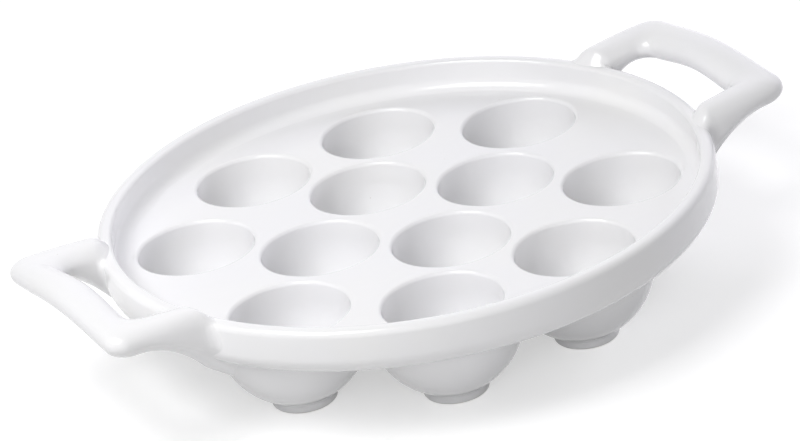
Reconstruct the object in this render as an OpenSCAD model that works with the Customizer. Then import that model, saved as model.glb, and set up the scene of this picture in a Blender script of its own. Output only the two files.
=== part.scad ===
/* [Wells] */
// Clear diameter of each well
well_d = 35; // [30:0.5:40]
// Depth of each well below the deck
well_depth = 23.4; // [22:0.2:30]
// Rounding of each well's mouth
mouth_r = 1.2; // [0.8:0.1:2]
// Land between an inner well and its neighbours
inner_land = 4.2; // [3.6:0.1:8]
// Land between neighbouring wells round the edge
edge_land = 9.4; // [7:0.1:12]
// Land between the two middle wells
middle_land = 14.4; // [12:0.1:17]

/* [Cups] */
// Thickness of the cup wall round each well
cup_wall = 4.8; // [3.5:0.1:6]
// Porcelain between the bottom of a well and the top of its foot
cup_floor = 2.2; // [1.5:0.1:4]

/* [Feet] */
// Diameter of each foot
foot_d = 19.2; // [15:0.2:24]
// Height of each foot
foot_h = 3; // [2:0.1:6]
// Rounding of a foot's lower edge
foot_edge_r = 0.9; // [0.4:0.1:1.5]
// Diameter of the shallow recess under a foot
foot_recess_d = 11; // [6:0.5:12]
// Depth of the shallow recess under a foot
foot_recess_h = 0.6; // [0.3:0.1:1]

/* [Deck and rim] */
// Thickness of the deck
deck_t = 5.2; // [4.5:0.1:7]
// Land between the outermost wells and the rim wall
rim_land = 5; // [4.4:0.1:8]
// Thickness of the rim wall
wall_t = 5.8; // [5:0.1:9]
// Height of the lip above the deck
lip_h = 9.4; // [7:0.1:14]
// Rounding of the lip's outer edge
lip_outer_r = 1.6; // [0.8:0.1:2.4]
// Rounding of the lip's inner edge
lip_inner_r = 4.1; // [1:0.1:4.4]
// Hollow corner between the rim wall and the deck
cove_r = 3.7; // [1.5:0.1:4]
// Rounding under the rim wall
heel_r = 6; // [3:0.1:6]

/* [Handles] */
// Gap for the fingers between the rim wall and the grip bar
finger_gap = 10.4; // [8:0.1:25]
// Clear width between the two arms, at the grip bar
grip_w = 47.8; // [40:0.2:80]
// Width of the grip bar, seen from above
bar_w = 12; // [9:0.1:16]
// Thickness of the grip bar
bar_t = 9.2; // [6:0.1:12]
// Height of the grip bar's middle line above the deck, at its corners
bar_z = 10.7; // [8:0.1:16]
// Extra height at the middle of the grip bar
bar_crown = 2.7; // [0:0.1:5]
// Outward bow at the middle of the grip bar
bar_bow = 0.2; // [0:0.1:4]
// Rise of the grip bar's section for each millimetre outwards
bar_tilt = 0.1; // [0:0.02:0.3]
// Radius of the opening's corners
corner_in_r = 4.9; // [2:0.1:7]
// Radius of the handle's outer corners
corner_out_r = 5.7; // [4.8:0.1:14]
// How far the arms spread towards the rim wall, each side
root_splay = 2.6; // [0:0.1:8]
// Height of an arm's top above the deck, where it leaves the rim
root_top = 13.4; // [11:0.1:15]
// Length over which an arm's top rolls down onto the lip
root_roll = 5.8; // [4:0.1:10]
// How far an arm widens at the rim wall, towards the opening
root_flare_in = 2.4; // [0:0.1:4]
// How far an arm widens at the rim wall, away from the opening
root_flare_out = 1; // [0:0.1:4]
// How far an arm's underside sweeps down at the rim wall
root_drop = 12.4; // [8:0.1:16]
// Length along the arm over which its root swells
root_reach = 17.2; // [10:0.2:24]
// Fall of an arm's root for each millimetre it runs on under the rim, to the nearest cup
root_fall = 0.75; // [0.4:0.05:1.2]

/* [Hidden] */
$fn = 96;
WELL_COUNT = 12;
SIDES = ["left", "right"];

glaze = [0.96, 0.96, 0.97];
bisque = [0.92, 0.91, 0.88];
past = 1;

well_r = well_d / 2;
cup_r = well_r + cup_wall;
foot_r = foot_d / 2;
deck_z = foot_h + cup_floor + well_depth;
under_z = deck_z - deck_t;
lip_z = deck_z + lip_h;
well_z = deck_z - well_depth + well_r;
cup_z = foot_h + sqrt(cup_r ^ 2 - foot_r ^ 2);

// Well layout: a middle pair, an inner pair on the handle axis, and eight round the edge
inner_pitch = well_d + inner_land;
edge_pitch = well_d + edge_land;
middle_well = [0, (well_d + middle_land) / 2];
inner_well = [sqrt(inner_pitch ^ 2 - middle_well.y ^ 2), 0];
flank_well = [edge_pitch / 2, middle_well.y + sqrt(inner_pitch ^ 2 - (edge_pitch / 2) ^ 2)];
end_well = meeting_point(inner_well, inner_pitch, flank_well, edge_pitch);
wells = concat([for (sx = [-1, 1], sy = [-1, 1]) [sx * end_well.x, sy * end_well.y]],
               [for (sx = [-1, 1], sy = [-1, 1]) [sx * flank_well.x, sy * flank_well.y]],
               [for (s = [-1, 1]) s * inner_well],
               [for (s = [-1, 1]) s * middle_well]);

rim_in_r = max(norm(end_well), norm(flank_well)) + well_r + rim_land;
rim_r = rim_in_r + wall_t;
seam_r = rim_in_r - cove_r;
lip_in_r = min(lip_inner_r, wall_t - lip_outer_r, lip_h - cove_r);

// Plan of one arm, from the nearest cup to the middle of the grip bar
half_w = bar_w / 2;
half_t = bar_t / 2;
inner_corner = [rim_r + finger_gap, grip_w / 2];
outer_corner = inner_corner + [bar_w, bar_w];
bar_y = grip_w / 2 + half_w;
wall_x = sqrt(rim_r ^ 2 - (bar_y + root_splay) ^ 2);
arm_len = inner_corner.x + half_w - wall_x;
root_sunk = wall_x - end_well.x - well_r;
lip_hold = 0.6;
roll_share = 0.6;
root_lean = 0.92;
drop_power = 1.94;
bar_squareness = 2.07;
arm_steps = 11;
turn_steps = 8;
bar_steps = 6;
ring_sides = 24;

// The point at distances from_a and from_b from two points, on the outer side
function meeting_point(a, from_a, b, from_b) =
    let (d = norm(b - a),
         along = (from_a ^ 2 - from_b ^ 2 + d ^ 2) / (2 * d),
         across = sqrt(from_a ^ 2 - along ^ 2),
         u = (b - a) / d)
    a + along * u + across * [u.y, -u.x];

// One edge of an arm in plan: straight out past the rim, round its corner and along the bar to the middle
function edge_path(corner, radius) =
    let (start = [wall_x - root_sunk, corner.y + root_splay],
         angle = atan2(corner.y - start.y, corner.x - start.x),
         turn = 90 + angle,
         cut = radius * tan(turn / 2),
         first = corner - cut * [cos(angle), sin(angle)],
         centre = first + radius * [sin(angle), -cos(angle)])
    concat([for (i = [0 : arm_steps - 1]) start + (first - start) * i / arm_steps],
           [for (i = [0 : turn_steps])
               let (a = angle + 90 - turn * i / turn_steps)
               centre + radius * [cos(a), sin(a)]],
           [for (i = [1 : bar_steps]) [corner.x, (corner.y - cut) * (1 - i / bar_steps)]]);

// How far the root's swelling still reaches at a distance s out from the rim wall
function swell(s) = min(1, max(0, 1 - s / root_reach));

// Height of an arm's top above the deck, for a ring at s and a point at its own distance off the rim wall
function arm_top(s, off) =
    let (rest = max(0, 1 - s / arm_len),
         line = bar_z + half_t - (bar_z + half_t - root_top) * rest,
         held = lip_h - lip_hold,
         rolled = min(1, max(0, off / root_roll + roll_share)))
    held + (line - held) * rolled ^ 2 * (3 - 2 * rolled);

// Height of an arm's underside above the deck, for a ring at s
function arm_bottom(s) =
    bar_z - half_t - root_drop * swell(s) ^ drop_power + root_fall * min(0, s);

function softened(v) = sign(v) * abs(v) ^ (2 / bar_squareness);

// One ring of points round the bar between its two edges, mirrored in Y where flip is -1
function ring(inner, outer, flip) =
    let (across = (outer - inner) / norm(outer - inner),
         s = (inner.x + outer.x) / 2 - wall_x,
         inside = inner - root_flare_in * swell(s) ^ 2 * across,
         outside = outer + root_flare_out * swell(s) ^ 2 * across,
         middle = (inside + outside) / 2,
         share = max(0, 1 - (middle.y / bar_y) ^ 2) ^ 2,
         bottom = arm_bottom(s),
         lean = root_lean * swell(s))
    [for (k = [0 : ring_sides - 1])
        let (a = 360 * k / ring_sides,
             v = softened(sin(a)),
             u = softened(cos(a)) * (cos(a) > 0 && v < 0 ? 1 + lean * v : 1),
             at = middle + u * (outside - inside) / 2,
             top = arm_top(s, at.x - sqrt(rim_r ^ 2 - at.y ^ 2)),
             level = deck_z + bar_crown * share + (top + bottom) / 2 + v * (top - bottom) / 2)
        [at.x + bar_bow * share, flip * at.y, level + bar_tilt * (at.x - middle.x)]];

// The corner left outside a rounding of the given radius, at the origin's +X +Y side
module spandrel(radius) {
    difference() {
        square([radius + past, radius + past]);
        circle(radius);
    }
}

module rim_profile(inner) {
    difference() {
        translate([inner, under_z]) square([rim_r - inner, lip_z - under_z]);
        translate([rim_r - lip_outer_r, lip_z - lip_outer_r]) spandrel(lip_outer_r);
        translate([rim_r - heel_r, under_z + heel_r]) mirror([0, 1]) spandrel(heel_r);
    }
}

// Everything taken out of the porcelain by one well, at the well's own centre
module well_space() {
    translate([0, 0, well_z]) sphere(well_r);
    translate([0, 0, well_z]) cylinder(r = well_r, h = deck_z - well_z + past);
    rotate_extrude() translate([well_r, deck_z - mouth_r]) difference() {
        square([mouth_r, mouth_r + past]);
        translate([mouth_r, 0]) circle(mouth_r);
        translate([mouth_r, 0]) square(mouth_r + past);
    }
}

module all_well_spaces() {
    for (xy = wells) translate(xy) well_space();
}

module deck() {
    color(glaze) difference() {
        translate([0, 0, under_z]) cylinder(r = seam_r, h = deck_t);
        all_well_spaces();
    }
}

module rim() {
    color(glaze) difference() {
        rotate_extrude() difference() {
            rim_profile(seam_r);
            translate([seam_r - past, deck_z + cove_r]) square([cove_r + past, lip_h]);
            translate([seam_r, deck_z + cove_r]) circle(cove_r);
            translate([rim_in_r + lip_in_r, lip_z - lip_in_r]) mirror([1, 0]) spandrel(lip_in_r);
        }
        all_well_spaces();
    }
}

// A half space that starts midway between two wells, on the far side from the first
module beyond_midway(from, to) {
    step = to - from;
    reach = 2 * cup_r;
    translate((from + to) / 2)
        rotate(atan2(step.y, step.x))
        translate([0, -reach, 0])
        cube([reach, 2 * reach, lip_z]);
}

module cup_ball() {
    translate([0, 0, cup_z]) sphere(cup_r);
}

module cup(i) {
    here = wells[i];
    color(glaze) difference() {
        translate(here) intersection() {
            cup_ball();
            translate([0, 0, foot_h]) cylinder(r = cup_r + past, h = under_z - foot_h);
        }
        translate(here) well_space();
        for (j = [0 : WELL_COUNT - 1])
            if (j != i && norm(wells[j] - here) < 2 * cup_r) beyond_midway(here, wells[j]);
    }
}

module foot(i) {
    color(bisque) translate(wells[i]) rotate_extrude() difference() {
        square([foot_r, foot_h]);
        translate([foot_r - foot_edge_r, foot_edge_r]) mirror([0, 1]) spandrel(foot_edge_r);
        translate([-past, -past]) square([foot_recess_d / 2 + past, foot_recess_h + past]);
    }
}

module handle_bar() {
    inner = edge_path(inner_corner, corner_in_r);
    outer = edge_path(outer_corner, corner_out_r);
    last = len(inner) - 1;
    rings = concat([for (i = [0 : last]) ring(inner[i], outer[i], 1)],
                   [for (i = [last - 1 : -1 : 0]) ring(inner[i], outer[i], -1)]);
    count = len(rings);
    points = [for (r = rings, p = r) p];
    sides = [for (i = [0 : count - 2], k = [0 : ring_sides - 1])
        let (a = i * ring_sides + k,
             b = i * ring_sides + (k + 1) % ring_sides)
        each [[a, a + ring_sides, b], [b, a + ring_sides, b + ring_sides]]];
    near_end = [for (k = [0 : ring_sides - 1]) k];
    far_end = [for (k = [ring_sides - 1 : -1 : 0]) (count - 1) * ring_sides + k];
    polyhedron(points, concat(sides, [near_end, far_end]));
}

module handle(side) {
    color(glaze) difference() {
        rotate(side == "left" ? 180 : 0) handle_bar();
        rotate_extrude() rim_profile(0);
        for (sx = [-1, 1], sy = [-1, 1]) translate([sx * end_well.x, sy * end_well.y]) cup_ball();
    }
}

deck();
rim();
for (i = [1 : WELL_COUNT]) cup(i - 1);
for (i = [1 : WELL_COUNT]) foot(i - 1);
for (side = SIDES) handle(side);
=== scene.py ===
from math import atan2, cos, degrees, hypot, pi, radians, sin, sqrt, tan

import bmesh
import bpy
from mathutils import Matrix, Quaternion, Vector


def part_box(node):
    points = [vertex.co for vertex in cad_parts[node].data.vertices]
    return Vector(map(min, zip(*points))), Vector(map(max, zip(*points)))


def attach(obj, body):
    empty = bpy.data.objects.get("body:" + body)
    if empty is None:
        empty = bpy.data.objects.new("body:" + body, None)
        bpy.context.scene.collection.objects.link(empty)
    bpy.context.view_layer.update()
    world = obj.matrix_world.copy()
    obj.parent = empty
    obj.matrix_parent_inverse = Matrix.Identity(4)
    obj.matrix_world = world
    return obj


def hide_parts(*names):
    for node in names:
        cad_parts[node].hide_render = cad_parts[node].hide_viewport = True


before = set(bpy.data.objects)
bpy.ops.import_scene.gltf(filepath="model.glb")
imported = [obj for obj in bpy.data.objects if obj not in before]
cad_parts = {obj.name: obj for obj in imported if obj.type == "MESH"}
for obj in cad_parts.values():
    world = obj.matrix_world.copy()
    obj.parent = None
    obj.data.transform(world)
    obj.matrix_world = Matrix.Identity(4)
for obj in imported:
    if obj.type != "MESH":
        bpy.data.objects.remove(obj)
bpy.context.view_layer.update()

mm = 0.001


# Deck: the flat plate that carries everything, with twelve holes whose mouths are rounded over.
# White porcelain under a clear glossy glaze; pressed as one plate, so the land between holes
# is narrow and softly rounded. Lower down, in the wells and below, the glaze is painted cooler and
# darker as shade.
WELL_COUNT = 12
ROUND_STEPS = 96
SHARP_ANGLE = radians(40)
WELD, SAME_LEVEL = 0.001 * mm, 0.01 * mm
well_radius = 17.5 * mm
mouth_radius = 1.2 * mm
flat_hold = 0.18 * mm
deck_low, deck_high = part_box("deck")
deck_top, deck_under, seam_radius = deck_high.z, deck_low.z, deck_high.x


def well_centre(number):
    """Where the axis of a well stands, from the foot under it."""
    low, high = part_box(f"foot_{number}")
    return (low + high) / 2 * Vector((1, 1, 0))


centres = {number: well_centre(number) for number in range(1, WELL_COUNT + 1)}


def arc(centre, radius, start, stop, steps):
    """Points (radius, height) along an arc; angles in degrees, 0 outwards and 90 upwards."""
    angles = [radians(start + (stop - start) * i / steps) for i in range(steps + 1)]
    return [(centre[0] + radius * cos(a), centre[1] + radius * sin(a)) for a in angles]


def throw(shape, outline, axis=Vector((0, 0, 0)), steps=ROUND_STEPS, closed=False):
    """Turn an outline of (radius, height) points once round an upright axis, as on a wheel."""
    verts = [shape.verts.new((axis.x + r, axis.y, z)) for r, z in outline]
    pairs = list(zip(verts, verts[1:]))
    if closed:
        pairs.append((verts[-1], verts[0]))
    edges = [shape.edges.new(pair) for pair in pairs]
    bmesh.ops.spin(shape, geom=verts + edges, cent=axis, axis=(0, 0, 1), angle=2 * pi,
                   steps=steps, use_merge=True)


def fire(shape, name, nodes, material):
    """Close the shape up, smooth it, and set it down as one finished piece of the dish."""
    bmesh.ops.remove_doubles(shape, verts=shape.verts, dist=WELD)
    bmesh.ops.recalc_face_normals(shape, faces=shape.faces)
    for face in shape.faces:
        face.smooth = True
    for edge in shape.edges:
        edge.smooth = len(edge.link_faces) == 2 and edge.calc_face_angle() < SHARP_ANGLE
    mesh = bpy.data.meshes.new(name)
    shape.to_mesh(mesh)
    shape.free()
    mesh.materials.append(material)
    piece = bpy.data.objects.new(name, mesh)
    bpy.context.collection.objects.link(piece)
    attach(piece, "root")
    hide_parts(*nodes)


class Glaze:
    """A value in a material's nodes; sums and products of such values add Math nodes."""

    def __init__(self, tree, socket):
        self.tree, self.socket = tree, socket

    def node(self, kind, settings=None, out=0, **sockets):
        made = self.tree.nodes.new(kind)
        for key, value in (settings or {}).items():
            setattr(made, key, value)
        for key, value in sockets.items():
            index = key[1:]
            place = made.inputs[int(index) if index.isdigit() else key.replace("_", " ")]
            if isinstance(value, Glaze):
                self.tree.links.new(value.socket, place)
            else:
                place.default_value = value
        return Glaze(self.tree, made.outputs[out])

    def math(self, operation, first, second, clamp=False):
        return self.node("ShaderNodeMath", {"operation": operation, "use_clamp": clamp},
                         i0=first, i1=second)

    def __add__(self, other):
        return self.math("ADD", self, other)

    def __sub__(self, other):
        return self.math("SUBTRACT", self, other)

    def __rsub__(self, other):
        return self.math("SUBTRACT", other, self)

    def __mul__(self, other):
        return self.math("MULTIPLY", self, other)

    def __gt__(self, other):
        return self.math("GREATER_THAN", self, other)

    def __lt__(self, other):
        return self.math("LESS_THAN", self, other)

    def between(self, low, high):
        """0 below low, 1 above high, and a smooth ramp between."""
        return self.node("ShaderNodeMapRange", {"interpolation_type": "SMOOTHSTEP"},
                         Value=self, From_Min=low, From_Max=high)

    def mix(self, first, second):
        """A colour between two colours, by this value."""
        return self.node("ShaderNodeMix", {"data_type": "RGBA"}, out=2,
                         i0=self, i6=first, i7=second)

    __radd__ = __add__
    __rmul__ = __mul__


def glazed_porcelain(name, bare_below=None):
    """White body under clear glaze: faint clouding, painted shade that turns it cooler and darker
    lower down, a fine ripple and rare specks.
    """
    white, warm = (0.86, 0.858, 0.868, 1), (0.864, 0.861, 0.86, 1)
    shaded_white = (0.835, 0.837, 0.848, 1)
    speck_brown, biscuit = (0.52, 0.47, 0.42, 1), (0.80, 0.775, 0.73, 1)
    material = bpy.data.materials.new(name)
    material.use_nodes = True
    tree = material.node_tree
    shader = tree.nodes["Principled BSDF"]
    place = Glaze(tree, None).node("ShaderNodeTexCoord", out=3)
    height = place.node("ShaderNodeSeparateXYZ", out=2, Vector=place)
    cloud = place.node("ShaderNodeTexNoise", Vector=place, Scale=28.0, Detail=3.0)
    ripple = place.node("ShaderNodeTexNoise", Vector=place, Scale=140.0, Detail=2.0)
    peel = place.node("ShaderNodeTexNoise", Vector=place, Scale=900.0, Detail=1.0)
    specks = place.node("ShaderNodeTexVoronoi", {"feature": "F1"}, Vector=place, Scale=260.0)
    chance = place.node("ShaderNodeSeparateColor", Color=specks.node(
        "ShaderNodeTexVoronoi", {"feature": "F1"}, out=1, Vector=place, Scale=260.0))
    speck = (specks < 0.045) * (chance > 0.95)
    # Painted shade: the lower a point lies (in the wells, on the cups and feet), the cooler and
    # darker the white, in patches.
    painted_shade = (1 - height.between(6 * mm, 27 * mm)) * cloud.between(0.25, 0.75)
    colour = cloud.between(0.35, 0.7).mix(white, warm)
    colour = (painted_shade * 0.8).mix(colour, shaded_white)
    colour = (speck * 0.5).mix(colour, speck_brown)
    rough = 0.09 + 0.06 * cloud + 0.02 * peel
    if bare_below is not None:
        bare = 1 - (height + peel * (0.25 * mm)).between(bare_below, bare_below + 0.3 * mm)
        colour = bare.mix(colour, biscuit)
        rough = rough + bare * 0.55
    surface = cloud * 0.6 + ripple * 0.25 + peel * 0.02
    bump = place.node("ShaderNodeBump", Strength=0.35, Distance=0.5 * mm, Height=surface)
    tree.links.new(colour.socket, shader.inputs["Base Color"])
    tree.links.new(rough.socket, shader.inputs["Roughness"])
    tree.links.new(bump.socket, shader.inputs["Normal"])
    shader.inputs["IOR"].default_value = 1.52
    return material


porcelain = glazed_porcelain("glazed_white_porcelain")

deck = bmesh.new()
mouth = [(well_radius + mouth_radius + flat_hold, deck_top)]
mouth += arc((well_radius + mouth_radius, deck_top - mouth_radius), mouth_radius, 90, 180, steps=10)
mouth += [(well_radius, deck_under)]
for here in centres.values():
    throw(deck, mouth, here)
throw(deck, [(seam_radius, deck_top), (seam_radius, deck_under)], steps=3 * ROUND_STEPS)
for level in (deck_top, deck_under):
    outlines = [e for e in deck.edges if e.is_boundary
                and all(abs(v.co.z - level) < SAME_LEVEL for v in e.verts)]
    bmesh.ops.triangle_fill(deck, edges=outlines, use_beauty=True)
fire(deck, "deck_plate", ["deck"], porcelain)


# Rim: the raised wall round the deck, with a rounded lip, a hollow corner inside and a full heel.
# The same glazed porcelain, thrown as a ring and luted round the deck's edge before firing.
lip_outer_radius, lip_inner_radius = 2.2 * mm, 1.4 * mm
cove_radius, heel_radius, wall_thickness = 3.8 * mm, 6 * mm, 4.4 * mm
_, rim_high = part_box("rim")
rim_radius, lip_top = rim_high.x, rim_high.z
rim_inside = rim_radius - wall_thickness
cove_bend = cove_radius - flat_hold

heel_middle = (rim_radius - heel_radius, deck_under + heel_radius)
lip_outer_middle = (rim_radius - lip_outer_radius, lip_top - lip_outer_radius)
lip_inner_middle = (rim_inside + lip_inner_radius, lip_top - lip_inner_radius)
cove_middle = (rim_inside - cove_bend, deck_top + cove_bend)
wall = [(seam_radius, deck_under)]
wall += arc(heel_middle, heel_radius, -90, 0, steps=16)
wall += arc(lip_outer_middle, lip_outer_radius, 0, 90, steps=14)
wall += arc(lip_inner_middle, lip_inner_radius, 90, 180, steps=12)
wall += arc(cove_middle, cove_bend, 0, -90, steps=16)
wall += [(seam_radius, deck_top)]
rim = bmesh.new()
throw(rim, wall, steps=3 * ROUND_STEPS, closed=True)
fire(rim, "rim_wall", ["rim"], porcelain)


# Cups: twelve round-bottomed shells under the deck, one below each hole, that hold the snails.
# Cast porcelain, luted to the underside with a small fillet that stops at the rim's heel, and
# cut flat where neighbours meet.
cup_radius, cup_flare = 22.3 * mm, 2.4 * mm
well_bottom = 5.2 * mm
foot_low, foot_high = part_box("foot_1")
foot_radius, foot_height = (foot_high.x - foot_low.x) / 2, foot_high.z
cup_middle = foot_height + sqrt(cup_radius ** 2 - foot_radius ** 2)
well_middle = well_bottom + well_radius
flare_z = deck_under - cup_flare
flare_r = sqrt((cup_radius + cup_flare) ** 2 - (flare_z - cup_middle) ** 2)
flare_end = 180 + degrees(atan2(flare_z - cup_middle, flare_r))
base_angle = -degrees(atan2(cup_middle - foot_height, foot_radius))

bowl = arc((0, well_middle), well_radius, -90, 0, steps=30)
bowl += [(well_radius, deck_under)]
bowl += arc((flare_r, flare_z), cup_flare, 90, flare_end, steps=8)
bowl += arc((0, cup_middle), cup_radius, flare_end - 180, base_angle, steps=24)[1:]
bowl += [(0, foot_height)]
for number, here in centres.items():
    cup = bmesh.new()
    throw(cup, bowl, here)
    bmesh.ops.remove_doubles(cup, verts=cup.verts, dist=WELD)
    for vert in cup.verts:
        vert.co.xy *= min(1, heel_middle[0] / vert.co.xy.length)
    for other in centres.values():
        step = other - here
        if 0 < step.length < 2 * (cup_radius + cup_flare):
            bmesh.ops.bisect_plane(cup, geom=cup.verts[:] + cup.edges[:] + cup.faces[:],
                                   dist=WELD / 10, plane_co=(here + other) / 2, plane_no=step,
                                   clear_outer=True)
            bmesh.ops.holes_fill(cup, edges=[e for e in cup.edges if e.is_boundary], sides=0)
    fire(cup, f"cup_shell_{number}", [f"cup_{number}"], porcelain)


# Feet: a small round foot under each cup, with a shallow recess, that the dish stands on.
# Glazed like the rest, but wiped bare where they touch the kiln shelf, so the ring is dry biscuit.
foot_edge, foot_fillet = 0.9 * mm, 2.4 * mm
recess_radius, recess_height = 5.5 * mm, 0.6 * mm
recess_inner_edge, recess_outer_edge, recess_draft = 0.3 * mm, 0.2 * mm, 0.1 * mm
fillet_r = foot_radius + foot_fillet
fillet_z = cup_middle - sqrt((cup_radius + foot_fillet) ** 2 - fillet_r ** 2)
fillet_end = degrees(atan2(cup_middle - fillet_z, -fillet_r))

foot_ring = glazed_porcelain("foot_ring_biscuit", bare_below=0.35 * mm)
sole = [(0, recess_height)]
sole += arc((recess_radius - recess_draft - recess_inner_edge, recess_height - recess_inner_edge),
            recess_inner_edge, 90, 0, steps=4)
sole += arc((recess_radius + recess_outer_edge, recess_outer_edge),
            recess_outer_edge, 180, 270, steps=4)
sole += arc((foot_radius - foot_edge, foot_edge), foot_edge, -90, 0, steps=8)
sole += arc((fillet_r, fillet_z), foot_fillet, 180, fillet_end, steps=6)
sole += [(0, sole[-1][1])]
for number, here in centres.items():
    foot = bmesh.new()
    throw(foot, sole, here, steps=64)
    fire(foot, f"foot_{number}_ring", [f"foot_{number}"], foot_ring)


# Handles: a square loop at each end, with a crowned grip bar and two arms that swell into the wall.
# Cast porcelain of the same body; the roots are luted over the lip, down the wall and on under the
# heel to the end cups, and smoothed with slip, so each runs into the rim with a small hollow.
finger_gap, grip_width = 10.4 * mm, 47.8 * mm
bar_width, bar_thickness, bar_height = 12 * mm, 9.2 * mm, 10.7 * mm
bar_crown, bar_bow, bar_tilt = 2.65 * mm, 0.2 * mm, 0.1
corner_inside, corner_outside = 4.9 * mm, 5.7 * mm
squareness, root_square = 2.07, 0.6
root_splay, root_top, root_reach = 2.6 * mm, 13.4 * mm, 17.2 * mm
root_flare_in, root_flare_out = 2.4 * mm, -0.8 * mm
root_drop, drop_power, root_fall = 12.4 * mm, 1.94, 0.75
root_lean, lean_depth = 0.5, 0.6
root_fillet, root_spread, spread_depth = 2.2 * mm, 4, 0.6 * mm
roll_start, roll_end, roll_ease = -4 * mm, 1.2 * mm, 0.07
lip_dip, tuck_slope, tuck_depth = 0.3 * mm, 3, 4.2 * mm
tail_taper, tail_length, tail_bury = 0.6, 5 * mm, 3.3 * mm
ARM_STEPS, TURN_STEPS, BAR_STEPS, RING_SIDES = 120, 16, 12, 64
lip_rise = lip_top - deck_top
inner_corner = Vector((rim_radius + finger_gap, grip_width / 2))
outer_corner = inner_corner + Vector((bar_width, bar_width))
bar_middle = (grip_width + bar_width) / 2
wall_x = sqrt(rim_radius ** 2 - (bar_middle + root_splay) ** 2)
arm_length = inner_corner.x + bar_width / 2 - wall_x
root_start = centres[4].x + cup_radius - tail_bury
tuck_radius, tuck_level = rim_radius - tuck_depth, (deck_top + deck_under) / 2


def arm_edge(corner, radius):
    """One edge of an arm in plan: out of the wall, round its corner, along half the bar."""
    start = Vector((root_start, corner.y + root_splay))
    angle = atan2(corner.y - start.y, corner.x - start.x)
    turn = pi / 2 + angle
    cut = radius * tan(turn / 2)
    first = corner - cut * Vector((cos(angle), sin(angle)))
    centre = first + radius * Vector((sin(angle), -cos(angle)))
    turns = [angle + pi / 2 - turn * i / TURN_STEPS for i in range(TURN_STEPS + 1)]
    arm = [start.lerp(first, i / ARM_STEPS) for i in range(ARM_STEPS)]
    bend = [centre + radius * Vector((cos(a), sin(a))) for a in turns]
    shares = [1 - i / BAR_STEPS for i in range(1, BAR_STEPS + 1)]
    bar = [Vector((corner.x, (corner.y - cut) * share)) for share in shares]
    return arm + bend + bar


def within(value):
    """The value, held between 0 and 1."""
    return min(1, max(0, value))


def ease(value):
    """A smooth step from 0 to 1."""
    return within(value) ** 2 * (3 - 2 * within(value))


def off_wall(at):
    """How far a place in plan stands off the outside of the rim wall, along the arm."""
    return at.x - sqrt(rim_radius ** 2 - at.y ** 2)


def arm_top(out, off):
    """Height of an arm's top above the deck: it rolls onto the lip and dips inside the wall."""
    line = root_top + (bar_height + bar_thickness / 2 - root_top) * min(1, out / arm_length)
    onto_lip = lip_rise - lip_dip + tuck_slope * min(0, off - roll_start)
    roll = within((off - roll_start) / (roll_end - roll_start))
    risen = sin(roll * pi / 2) * roll * (1 + roll_ease) / (roll + roll_ease)
    return onto_lip + (line - onto_lip) * risen


def off_rim(point):
    """How far a point stands off the outside of the rim wall, its lip and its heel."""
    out = hypot(point.x, point.y)
    lip_r, lip_z = lip_outer_middle
    heel_r, heel_z = heel_middle
    if point.z > lip_z and out > lip_r:
        return hypot(out - lip_r, point.z - lip_z) - lip_outer_radius
    if point.z < heel_z and out > heel_r:
        return hypot(out - heel_r, point.z - heel_z) - heel_radius
    return max(out - rim_radius, point.z - lip_top, deck_under - point.z)


def soft(value, square):
    """A sine or cosine bent so that the round section gets fuller corners; 2 leaves it round."""
    return (1 if value > 0 else -1) * abs(value) ** (2 / square)


def bar_point(inner, outer, around):
    """A point on the skin of an arm or the bar, at an angle round the section between its edges.

    Near the wall the section swells, drops and leans in; on the wall it spreads into a hollow;
    past the wall it tapers, and what lies inside the lip is tucked away in the deck.
    """
    across = (outer - inner).normalized()
    out = (inner.x + outer.x) / 2 - wall_x
    swell = within(1 - out / root_reach)
    inside = inner - root_flare_in * swell ** 2 * across
    outside = outer + root_flare_out * swell ** 2 * across
    middle, half = (inside + outside) / 2, (outside - inside).length / 2
    share = max(0, 1 - (middle.y / bar_middle) ** 2) ** 2
    up, side = sin(around), cos(around)
    square = squareness + (root_square * swell if up * side > 0 else 0)
    up, side = soft(up, square), soft(side, square)
    if side > 0 and up < 0:
        side *= 1 - root_lean * swell * ease(-up / lean_depth)
    past_wall = roll_start - off_wall(middle + side * half * across)
    side *= 1 - tail_taper * within(past_wall / tail_length)
    at = middle + side * half * across
    top = arm_top(out, off_wall(at))
    bottom = bar_height - bar_thickness / 2 - root_drop * swell ** drop_power
    bottom += root_fall * min(0, out)
    level = deck_top + bar_crown * share + (top + bottom) / 2 + up * (top - bottom) / 2
    point = Vector((at.x + bar_bow * share, at.y, level + bar_tilt * (at.x - middle.x)))
    off = off_rim(point)
    hollow = root_fillet * (1 - sqrt(1 - within(1 - off / root_fillet) ** 2))
    hollow += root_spread * min(spread_depth, max(0, -off))
    round_wall = Vector((-at.y, at.x)).normalized()
    point += (hollow * side * abs(side) * round_wall).to_3d()
    if hypot(point.x, point.y) < tuck_radius:
        point.z = min(point.z, tuck_level)
    return point


inner_edge = arm_edge(inner_corner, corner_inside)
outer_edge = arm_edge(outer_corner, corner_outside)
stations = len(inner_edge) - 1
for side_name, turned in (("left", pi), ("right", 0)):
    handle = bmesh.new()
    bmesh.ops.create_grid(handle, x_segments=RING_SIDES, y_segments=stations, size=1)
    for vert in handle.verts:
        station = round((vert.co.y + 1) / 2 * stations)
        vert.co = bar_point(inner_edge[station], outer_edge[station], pi * (vert.co.x + 1))
    bmesh.ops.mirror(handle, geom=handle.verts[:] + handle.edges[:] + handle.faces[:], axis="Y",
                     merge_dist=WELD)
    bmesh.ops.remove_doubles(handle, verts=handle.verts, dist=WELD)
    bmesh.ops.holes_fill(handle, edges=[e for e in handle.edges if e.is_boundary], sides=0)
    bmesh.ops.rotate(handle, verts=handle.verts, cent=(0, 0, 0),
                     matrix=Matrix.Rotation(turned, 3, "Z"))
    fire(handle, f"handle_{side_name}_loop", [f"handle_{side_name}"], porcelain)


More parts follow.
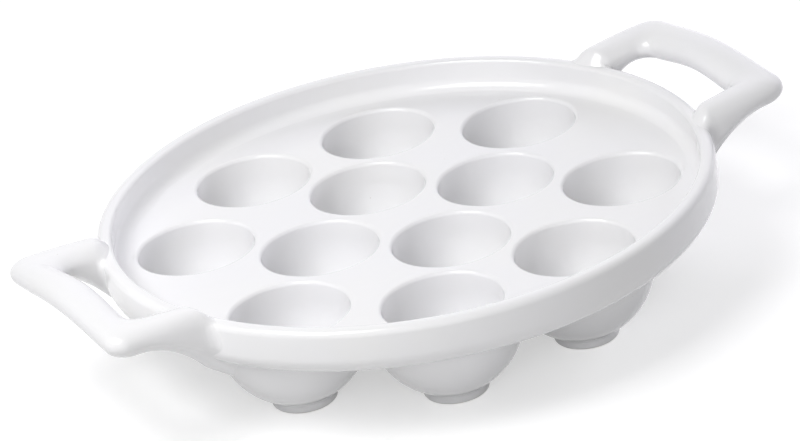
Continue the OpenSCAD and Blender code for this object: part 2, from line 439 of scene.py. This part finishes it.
# Studio: a plain pale table in a white room, a soft box near the dish on the left and three dim
# ones round it, and a long lens. The table and the room show white, also in reflections, and the
# table keeps the soft shadow under the dish.
aim = Vector((-4.594, -2.855, 28.6)) * mm
azimuth, elevation, roll = radians(-26.0733), radians(25.2904), radians(-9.6463)
distance = 1139.37 * mm
towards = Vector((sin(azimuth) * cos(elevation), -cos(azimuth) * cos(elevation), sin(elevation)))
lens = bpy.data.cameras.new("camera")
lens.lens, lens.sensor_width, lens.sensor_fit = 173.93, 36, "HORIZONTAL"
camera = bpy.data.objects.new("camera", lens)
camera.location = aim + distance * towards
camera.rotation_mode = "QUATERNION"
camera.rotation_quaternion = towards.to_track_quat("Z", "Y") @ Quaternion((0, 0, 1), roll)
bpy.context.collection.objects.link(camera)
bpy.context.scene.camera = camera


def shown(tree):
    """1 for what the camera sees, directly or reflected, and 0 for light that falls on the dish."""
    path = Glaze(tree, None)
    seen, mirrored, through = [path.node("ShaderNodeLightPath", out=f"Is {kind} Ray")
                               for kind in ("Camera", "Glossy", "Transmission")]
    return path.math("ADD", seen + mirrored, through, clamp=True)


table_white = bpy.data.materials.new("table_white")
table_white.use_nodes = True
tree = table_white.node_tree
matt = tree.nodes["Principled BSDF"]
matt.inputs["Base Color"].default_value = (0.6, 0.6, 0.6, 1)
matt.inputs["Roughness"].default_value = 0.8
lit = Glaze(tree, matt.outputs[0])
glowing = lit.node("ShaderNodeAddShader", i0=lit, i1=lit.node("ShaderNodeEmission", Strength=0.5))
tree.links.new(lit.node("ShaderNodeMixShader", i0=shown(tree), i1=lit, i2=glowing).socket,
               tree.nodes["Material Output"].inputs["Surface"])
table = bmesh.new()
bmesh.ops.create_grid(table, x_segments=1, y_segments=1, size=6)
table_mesh = bpy.data.meshes.new("table")
table.to_mesh(table_mesh)
table.free()
table_mesh.materials.append(table_white)
table_top = bpy.data.objects.new("table", table_mesh)
bpy.context.collection.objects.link(table_top)

room = bpy.data.worlds.new("room")
room.use_nodes = True
bpy.context.scene.world = room
tree = room.node_tree
sky = tree.nodes["Background"]
sky.inputs["Color"].default_value = (0.96, 0.96, 1, 1)
sky.inputs["Strength"].default_value = 0.12
walls = Glaze(tree, sky.outputs[0])
bright = walls.node("ShaderNodeBackground", Color=(1, 1, 1, 1), Strength=1.0)
tree.links.new(walls.node("ShaderNodeMixShader", i0=shown(tree), i1=walls, i2=bright).socket,
               tree.nodes["World Output"].inputs["Surface"])


def soft_box(name, around, above, away, size, watts, tint, mirrored=False):
    """A square soft box aimed at the dish: degrees round from the front, degrees up, metres away."""
    turn, lift = radians(around), radians(above)
    towards = Vector((sin(turn) * cos(lift), -cos(turn) * cos(lift), sin(lift)))
    box = bpy.data.lights.new(name, "AREA")
    box.shape, box.size, box.energy, box.color = "SQUARE", size, watts, tint
    lamp = bpy.data.objects.new(name, box)
    lamp.location = dish_middle + away * towards
    lamp.rotation_mode = "QUATERNION"
    lamp.rotation_quaternion = towards.to_track_quat("Z", "Y")
    lamp.visible_glossy = mirrored
    bpy.context.collection.objects.link(lamp)


dish_middle = Vector((0, 0, 30 * mm))
plain_white, cool_white = (1, 1, 1), (0.94, 0.93, 1)
soft_box("key_left", -82, 55, away=0.7, size=0.4, watts=3.5, tint=plain_white, mirrored=True)
soft_box("fill_front", -30, 22, away=1.1, size=0.6, watts=3.5, tint=plain_white)
soft_box("fill_right", 100, 12, away=1.1, size=0.6, watts=5.9, tint=cool_white)
soft_box("fill_back", 140, 30, away=1.1, size=0.6, watts=4.8, tint=cool_white)

view = bpy.context.scene.view_settings
view.view_transform = "Standard"
